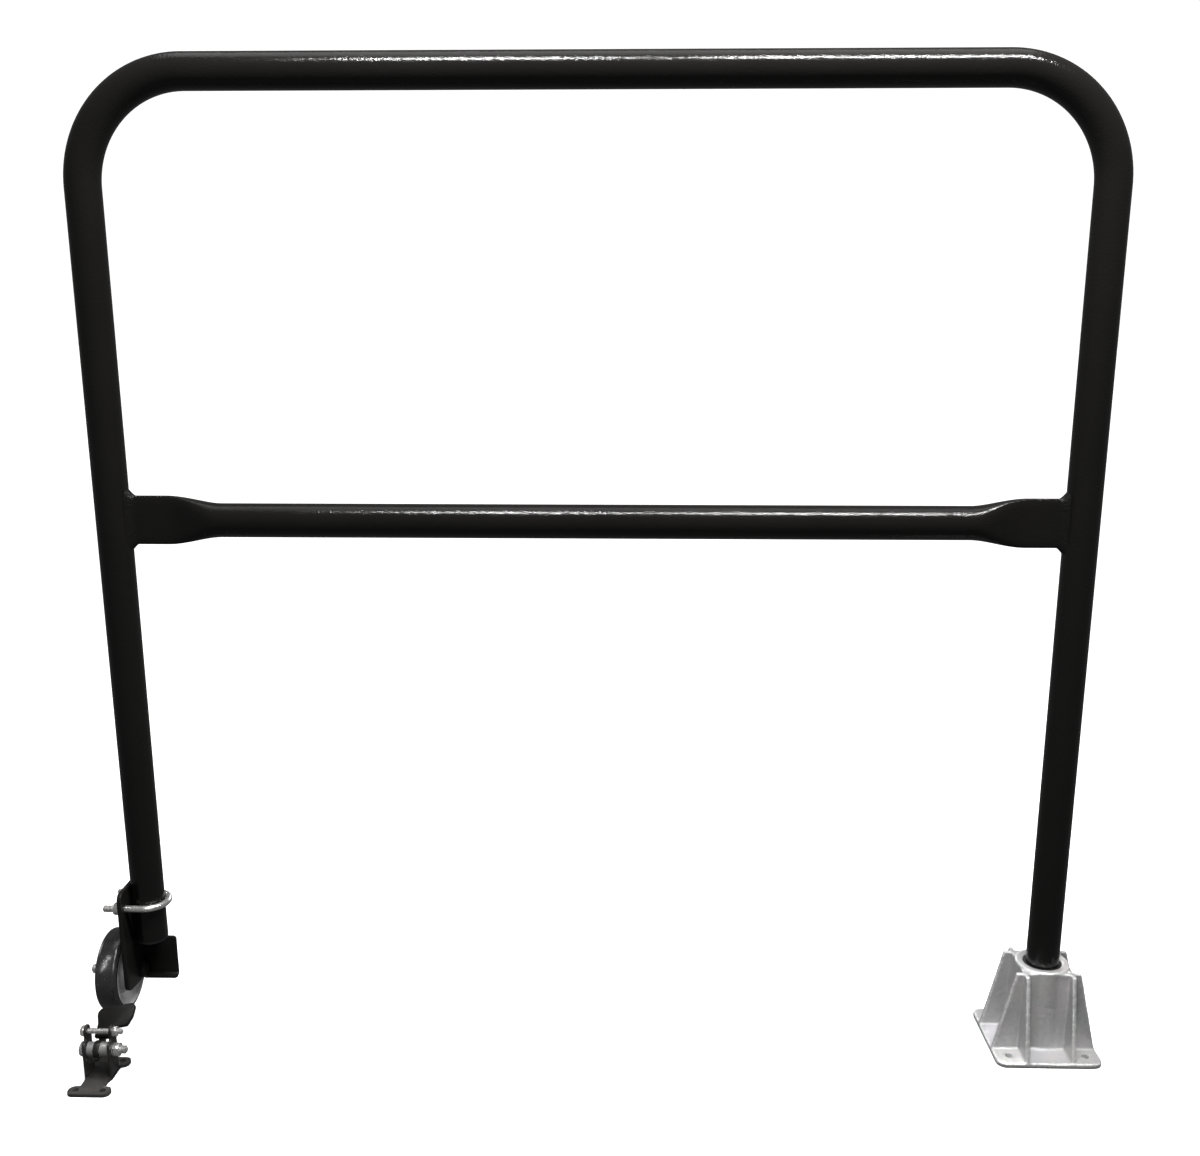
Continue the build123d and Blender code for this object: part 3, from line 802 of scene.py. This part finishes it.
# ---- wheel and axle ----------------------------------------------------------------------------
def make_axle():
    low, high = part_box("axle_bolt")
    head_r = (high.z - low.z) / 2
    shaft_r, pitch = 6 * MM, 1.75 * MM
    nut_low, nut_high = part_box("axle_nut")
    centre = Vector((0, WHEEL.y, WHEEL.z))
    bm = bmesh.new()
    shaft = [(nut_high.x, 0), (nut_high.x, shaft_r), (plate_high.x, shaft_r), (plate_high.x, 0)]
    turned(bm, centre, shaft)
    threaded_rod(bm, shaft_r, pitch, low.x, nut_high.x, WHEEL)
    add_piece("axle", bm, ZINC, "wheel_bracket", ["axle_bolt"], 38)
    head = bmesh.new()
    dome = high.x - plate_high.x
    profile = [(plate_high.x, 0), (plate_high.x, head_r)]
    profile += arc(plate_high.x + dome * 0.35, head_r - dome * 0.65, dome * 0.65, 90, 12)
    profile += [(high.x, head_r * 0.35), (high.x - 2 * MM, head_r * 0.3), (high.x - 2 * MM, 0)]
    turned(head, centre, profile)
    add_piece("axle_head", head, STEEL, "wheel_bracket", ["axle_bolt"])
    nut = bmesh.new()
    across = nut_high.z - nut_low.z
    collar = 3 * MM
    hexagon(nut, across, nut_low.x + collar, nut_high.x, WHEEL, (-1, 1), 0.3)
    profile = [(nut_low.x + collar, shaft_r), (nut_low.x + collar, across * 0.44)]
    profile += arc(nut_low.x + 1.2 * MM, across * 0.38, 1.2 * MM, 90, 180) + [(nut_low.x, shaft_r)]
    turned(nut, centre, profile)
    add_piece("lock_nut", nut, ZINC, "wheel_bracket", ["axle_nut"])
    dress("axle_washers", DULL)


def make_tread():
    low, high = tread_low, tread_high
    hub_r = (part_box("wheel_hub")[1].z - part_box("wheel_hub")[0].z) / 2
    shoulder = 5.5 * MM
    crown = 0.6 * MM
    profile = [(low.x, hub_r), (low.x, WHEEL_R - shoulder)]
    profile += arc(low.x + shoulder, WHEEL_R - shoulder - crown, shoulder, 180, 95, 8)
    profile += [(WHEEL.x, WHEEL_R)]
    profile += arc(high.x - shoulder, WHEEL_R - shoulder - crown, shoulder, 85, 0, 8)
    profile += [(high.x, WHEEL_R - shoulder), (high.x, hub_r)]
    bm = bmesh.new()
    turned(bm, Vector((0, WHEEL.y, WHEEL.z)), profile, 128)
    add_piece("tread", bm, TREAD, "wheel", ["wheel_tread"], 60)


def make_hub():
    low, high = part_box("wheel_hub")
    hub_r = (high.z - low.z) / 2
    bearing_r = (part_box("wheel_bearings")[1].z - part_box("wheel_bearings")[0].z) / 2
    half = (tread_high.x - tread_low.x) / 2
    boss_half = (high.x - low.x) / 2
    web, lip, boss_r = 4.5 * MM, 3 * MM, 20 * MM
    dish = half - 3 * MM
    right = [(boss_half, bearing_r), (boss_half, boss_r - 1 * MM), (boss_half - 1 * MM, boss_r)]
    right += [(web + 2 * MM, boss_r + 1 * MM), (web, boss_r + 3 * MM), (web, boss_r + 9 * MM)]
    right += [(dish - 1 * MM, hub_r - lip - 7 * MM), (dish, hub_r - lip - 5 * MM), (dish, hub_r - lip)]
    right += [(half - 0.6 * MM, hub_r - lip + 0.4 * MM), (half, hub_r - lip + 1 * MM), (half, hub_r)]
    left = [(-along, radius) for along, radius in reversed(right)]
    bm = bmesh.new()
    turned(bm, WHEEL, right + left, 128)
    add_piece("hub", bm, HUB, "wheel", ["wheel_hub"], 30)
    dress("wheel_bearings", ZINC)
    dress("bearing_spacer", DULL)


# ---- floor catch -------------------------------------------------------------------------------
EAR_HALF_SPAN = 16 * MM
EAR_THICK = 3 * MM
EAR_HALF_WIDTH = 11.5 * MM
EAR_SHOULDER_Z = 46 * MM
TAB_HALF_WIDTH = 6.5 * MM


def make_catch_bracket():
    thick = 4 * MM
    foot_half = (catch_high.x - catch_low.x) / 2
    foot_deep = 16 * MM
    hole_r, hole_half = 3.5 * MM, 15.5 * MM
    near_y, far_y = catch_low.y + foot_deep / 2, catch_high.y - foot_deep / 2
    neck = 13.5 * MM
    part = bmesh.new()
    right = [(foot_half, catch_low.y), (foot_half, catch_low.y + foot_deep)]
    right += [(neck, catch_low.y + foot_deep), (neck, PIVOT_BOLT.y - EAR_HALF_WIDTH - 6 * MM)]
    right += [(EAR_HALF_SPAN, PIVOT_BOLT.y - EAR_HALF_WIDTH + 2 * MM)]
    right += [(EAR_HALF_SPAN, catch_high.y - foot_deep)]
    right += [(foot_half, catch_high.y - foot_deep), (foot_half, catch_high.y)]
    outline = [(CATCH_X + x, y) for x, y in right] + [(CATCH_X - x, y) for x, y in reversed(right)]
    outline_face(part, outline, "Z")
    round_corners(part, 7 * MM, lambda co: abs(co.x - CATCH_X) > foot_half - MM)
    inner = (catch_low.y + foot_deep, catch_high.y - foot_deep)
    round_corners(
        part,
        4.5 * MM,
        lambda co: abs(co.x - CATCH_X) < foot_half - 7.5 * MM and min(abs(co.y - y) for y in inner) < MM,
    )
    thicken(part, AXIS_Z * thick)
    bevel(part, sharp_edges(part, 60), 0.6 * MM, 2)
    bm = bmesh.new()
    pour(bm, part)
    for side in (-1, 1):
        add_ear(bm, CATCH_X + side * (EAR_HALF_SPAN - EAR_THICK / 2))
    piece = add_piece("catch_frame", bm, CATCH, "floor_fittings", ["catch_bracket"])
    drills = []
    for y in (near_y, far_y):
        for x in (CATCH_X - hole_half, CATCH_X + hole_half):
            drills.append(drill((x, y, thick / 2), hole_r, 4 * thick))
    cut_away(piece, drills)


def add_ear(bm, middle_x):
    ear = bmesh.new()
    y, tab_y = PIVOT_BOLT.y, STOP_BOLT.y
    outline = [(y - EAR_HALF_WIDTH, 1 * MM), (y + EAR_HALF_WIDTH, 1 * MM)]
    outline += [(y + EAR_HALF_WIDTH, EAR_SHOULDER_Z), (tab_y + TAB_HALF_WIDTH, EAR_SHOULDER_Z)]
    outline += [(tab_y + TAB_HALF_WIDTH, catch_high.z), (tab_y - TAB_HALF_WIDTH, catch_high.z)]
    outline += [(tab_y - TAB_HALF_WIDTH, EAR_SHOULDER_Z), (y - EAR_HALF_WIDTH, EAR_SHOULDER_Z)]
    outline_face(ear, outline, "X")
    round_corners(ear, TAB_HALF_WIDTH * 0.95, lambda co: co.z > catch_high.z - MM, 10)
    round_corners(ear, 3.5 * MM, lambda co: abs(co.z - EAR_SHOULDER_Z) < MM and co.y < tab_y, 6)
    thicken(ear, AXIS_X * EAR_THICK)
    bevel(ear, sharp_edges(ear, 60), 0.45 * MM, 2)
    pour(bm, ear, Matrix.Translation((middle_x - EAR_THICK / 2, 0, 0)))


def make_cross_bolt(name, prefix, radius, pitch, thread_from):
    bolt_low, bolt_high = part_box(f"catch_{prefix}_bolt")
    nut_low, nut_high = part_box(f"catch_{prefix}_nut")
    centre = Vector((0, (nut_low.y + nut_high.y) / 2, (nut_low.z + nut_high.z) / 2))
    across = nut_high.z - nut_low.z
    ear_left = CATCH_X - EAR_HALF_SPAN
    bm = bmesh.new()
    hexagon(bm, across, bolt_low.x, ear_left, centre, (-1,), 0.15)
    plain = [(ear_left, 0), (ear_left, radius), (thread_from, radius), (thread_from, 0)]
    turned(bm, Vector((0, centre.y, centre.z)), plain, 40)
    threaded_rod(bm, radius, pitch, thread_from - pitch, bolt_high.x, centre)
    add_piece(f"{name}_bolt", bm, ZINC, "floor_fittings", [f"catch_{prefix}_bolt"], 38)
    nut = bmesh.new()
    hexagon(nut, across, nut_low.x, nut_high.x, centre, (-1, 1), 0.45)
    add_piece(f"{name}_nut", nut, ZINC, "floor_fittings", [f"catch_{prefix}_nut"])


def make_catch_fixings():
    ear_right = CATCH_X + EAR_HALF_SPAN
    make_cross_bolt("pivot", "pivot", 4.75 * MM, 1.5 * MM, ear_right)
    make_cross_bolt("stop", "stop", 3.2 * MM, 1.0 * MM, CATCH_X - EAR_HALF_SPAN + EAR_THICK)
    for side in ("left", "right"):
        low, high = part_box(f"catch_spacer_{side}")
        bm = bmesh.new()
        ring(bm, 4.75 * MM, (high.z - low.z) / 2, low.x, high.x, PIVOT_BOLT, 0.5 * MM)
        name = f"catch_spacer_{side}"
        add_piece(f"{side}_spacer", bm, DULL, "floor_fittings", [name])


def flap_place():
    pivot = Vector((0, PIVOT_BOLT.y, PIVOT_BOLT.z))
    return Matrix.Translation(pivot) @ Matrix.Rotation(FLAP_ANGLE, 4, "X")


def make_flap_arm():
    low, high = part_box("flap_arm")
    reach, depth, hub = 47 * MM, 8 * MM, 10 * MM
    across = AXIS_X * (high.x - low.x)
    part = bmesh.new()
    bmesh.ops.create_circle(part, cap_ends=True, segments=40, radius=hub, matrix=turn_to_x(ORIGIN))
    thicken(part, across)
    bevel(part, sharp_edges(part, 60), 0.8 * MM, 2)
    bmesh.ops.translate(part, verts=part.verts, vec=AXIS_X * low.x)
    nose = 4 * MM
    arm = bmesh.new()
    outline = [(0, -depth), (reach - nose, -depth), (reach, nose - depth), (reach, 0), (0, 0)]
    outline_face(arm, outline, "X")
    thicken(arm, across)
    bevel(arm, sharp_edges(arm, 30), 0.7 * MM, 2)
    bmesh.ops.translate(arm, verts=arm.verts, vec=AXIS_X * low.x)
    bm = bmesh.new()
    pour(bm, part)
    pour(bm, arm)
    bmesh.ops.transform(bm, matrix=flap_place(), verts=bm.verts)
    add_piece("flap_lug", bm, STEEL, "stop_flap", ["flap_arm"])


def make_paddle():
    thick, start, foot, wide, tip, slant = 6 * MM, 12 * MM, 27.5 * MM, 38.5 * MM, 55 * MM, 9 * MM
    neck_right, neck_end = 12 * MM, 24.5 * MM
    foot_left, foot_right, left, right = -8 * MM, 26 * MM, -11.5 * MM, 29.5 * MM
    outline = [(neck_right, start), (neck_right, neck_end), (foot_right, foot), (right, wide)]
    outline += [(right, tip), (left, tip - slant), (left, wide), (foot_left, foot), (foot_left, start)]
    part = bmesh.new()
    outline_face(part, outline, "Z")
    round_corners(part, 5.5 * MM, lambda co: co.y > tip - slant - MM, 8)
    round_corners(part, 4 * MM, lambda co: abs(co.y - wide) < MM, 6)
    round_corners(part, 1.5 * MM, lambda co: abs(co.y - foot) < MM, 4)
    thicken(part, AXIS_Z * thick)
    bevel(part, sharp_edges(part, 60), 1.3 * MM, 3)
    bm = bmesh.new()
    pour(bm, part, flap_place() @ Matrix.Translation((CATCH_X, 0, 0)))
    add_piece("paddle", bm, STEEL, "stop_flap", ["flap_paddle"])


# ---- floor, light and camera -------------------------------------------------------------------
def make_floor():
    """A white floor, evenly lit by a lamp of its own, that throws no light back on the rail.

    It goes dark only where something stands right over it, so that the anchor holes read as holes.
    """
    bm = bmesh.new()
    bmesh.ops.create_grid(bm, x_segments=1, y_segments=1, size=30)
    mesh = bpy.data.meshes.new("floor")
    bm.to_mesh(mesh)
    bm.free()
    look = Finish("studio_floor", Roughness=0.9, Specular_IOR_Level=0.0, Emission_Strength=0.72)
    open_sky = look.add("ShaderNodeAmbientOcclusion", {"samples": 8}, {"Distance": 12 * MM}, "AO")
    shade = look.ramp(open_sky, 0.3, 0.5)
    look.set("Base Color", look.mix(shade, grey(0.03), grey(0.9)))
    look.set("Emission Color", look.mix(shade, grey(0.02), grey(1.0)))
    mesh.materials.append(look.material)
    floor = bpy.data.objects.new("floor", mesh)
    floor.location.z = -0.3 * MM
    floor.visible_diffuse = False
    floor.visible_glossy = False
    bpy.context.scene.collection.objects.link(floor)
    lamp_data = bpy.data.lights.new("floor_lamp", "SUN")
    lamp_data.energy = 1.6
    lamp_data.angle = math.radians(70)
    lamp = bpy.data.objects.new("floor_lamp", lamp_data)
    lamp.rotation_euler = (math.radians(-8), math.radians(10), 0)
    bpy.context.scene.collection.objects.link(lamp)
    lamp.light_linking.receiver_collection = collect("floor_only", [floor])


def collect(name, pieces):
    """A collection of the pieces that one lamp lights."""
    group = bpy.data.collections.new(name)
    for piece in pieces:
        group.objects.link(piece)
    return group


def add_light(name, where, target, size, power, receivers=None):
    light = bpy.data.lights.new(name, "AREA")
    light.shape = "RECTANGLE"
    light.size, light.size_y = size
    light.energy = power
    lamp = bpy.data.objects.new(name, light)
    lamp.location = where
    lamp.rotation_euler = (Vector(target) - Vector(where)).to_track_quat("-Z", "Y").to_euler()
    bpy.context.scene.collection.objects.link(lamp)
    if receivers:
        lamp.light_linking.receiver_collection = receivers


def make_world():
    world = bpy.data.worlds.new("studio")
    bpy.context.scene.world = world
    world.use_nodes = True
    tree = world.node_tree
    tree.nodes.clear()
    output = tree.nodes.new("ShaderNodeOutputWorld")
    white = tree.nodes.new("ShaderNodeBackground")
    dim = tree.nodes.new("ShaderNodeBackground")
    seen = tree.nodes.new("ShaderNodeLightPath")
    choice = tree.nodes.new("ShaderNodeMixShader")
    white.inputs["Color"].default_value = (1, 1, 1, 1)
    white.inputs["Strength"].default_value = 1.1
    dim.inputs["Color"].default_value = (1, 1, 1, 1)
    dim.inputs["Strength"].default_value = 0.12
    tree.links.new(seen.outputs["Is Camera Ray"], choice.inputs[0])
    tree.links.new(dim.outputs[0], choice.inputs[1])
    tree.links.new(white.outputs[0], choice.inputs[2])
    tree.links.new(choice.outputs[0], output.inputs["Surface"])


def make_lights():
    """Strips for the streaks on the rails, soft lamps for the fittings, fills for the far sides."""
    middle_x = (PIVOT_X + FREE_X) / 2
    bracket = Vector((FREE_X, 0, 0.1))
    socket = Vector((PIVOT_X, 0, 0.05))
    middle = Vector((middle_x, 0, 0.6))
    for name, x, length in (("left_strip", FREE_X + 0.33, 0.42), ("right_strip", PIVOT_X - 0.05, 0.66)):
        where = Vector((x, -0.47, 1.85))
        add_light(name, where, (x, 0, 0.87), (length, 0.03), 36 * length)
    add_light("overhead", middle + Vector((0, 0.3, 2.4)), middle, (2.6, 1.4), 16)
    meshes = [o for o in bpy.context.scene.objects if o.type == "MESH" and o.name != "floor"]
    dark = ("hoop", "pinched_mid_rail", "rail_weld_beads")
    dark += ("side_plate", "seat_angle", "axle_head", "paddle")
    fittings = collect("fittings", [o for o in meshes if o.name not in dark])
    tread = collect("tread_only", [o for o in meshes if o.name == "tread"])
    add_light("bracket_soft", bracket + Vector((0.4, -1.0, 1.6)), bracket, (0.5, 0.5), 7, fittings)
    add_light("socket_soft", socket + Vector((-0.6, -1.4, 1.0)), socket, (0.6, 0.6), 8, fittings)
    add_light("left_fill", bracket + Vector((-1.5, 0.3, 0.9)), bracket, (0.6, 0.6), 9, fittings)
    add_light("back_fill", middle + Vector((0.3, 2.2, 0.3)), middle - AXIS_Z * 0.5, (1.6, 0.8), 14, fittings)
    add_light("tread_strip", bracket + Vector((-0.56, -0.95, 0.85)), bracket, (0.05, 0.9), 3.5, tread)


def make_camera():
    camera = bpy.data.cameras.new("camera")
    camera.sensor_width = 36
    camera.lens = 38.31
    camera.shift_y = 0.04
    camera.clip_end = 200
    rig = bpy.data.objects.new("camera", camera)
    middle_x = (PIVOT_X + FREE_X) / 2
    rig.location = (middle_x + 0.0412, -1.404, 0.8642)
    rig.rotation_euler = (math.radians(90 - 13.9), 0, math.radians(1.39))
    bpy.context.scene.collection.objects.link(rig)
    bpy.context.scene.camera = rig


make_hoop()
make_mid_rail()
make_welds()
make_socket()
make_side_plate()
make_seat_angle()
make_u_bolt()
make_axle()
make_tread()
make_hub()
make_catch_bracket()
make_catch_fixings()
make_flap_arm()
make_paddle()
make_floor()
make_world()
make_lights()
make_camera()
bpy.context.scene.view_settings.view_transform = "Standard"
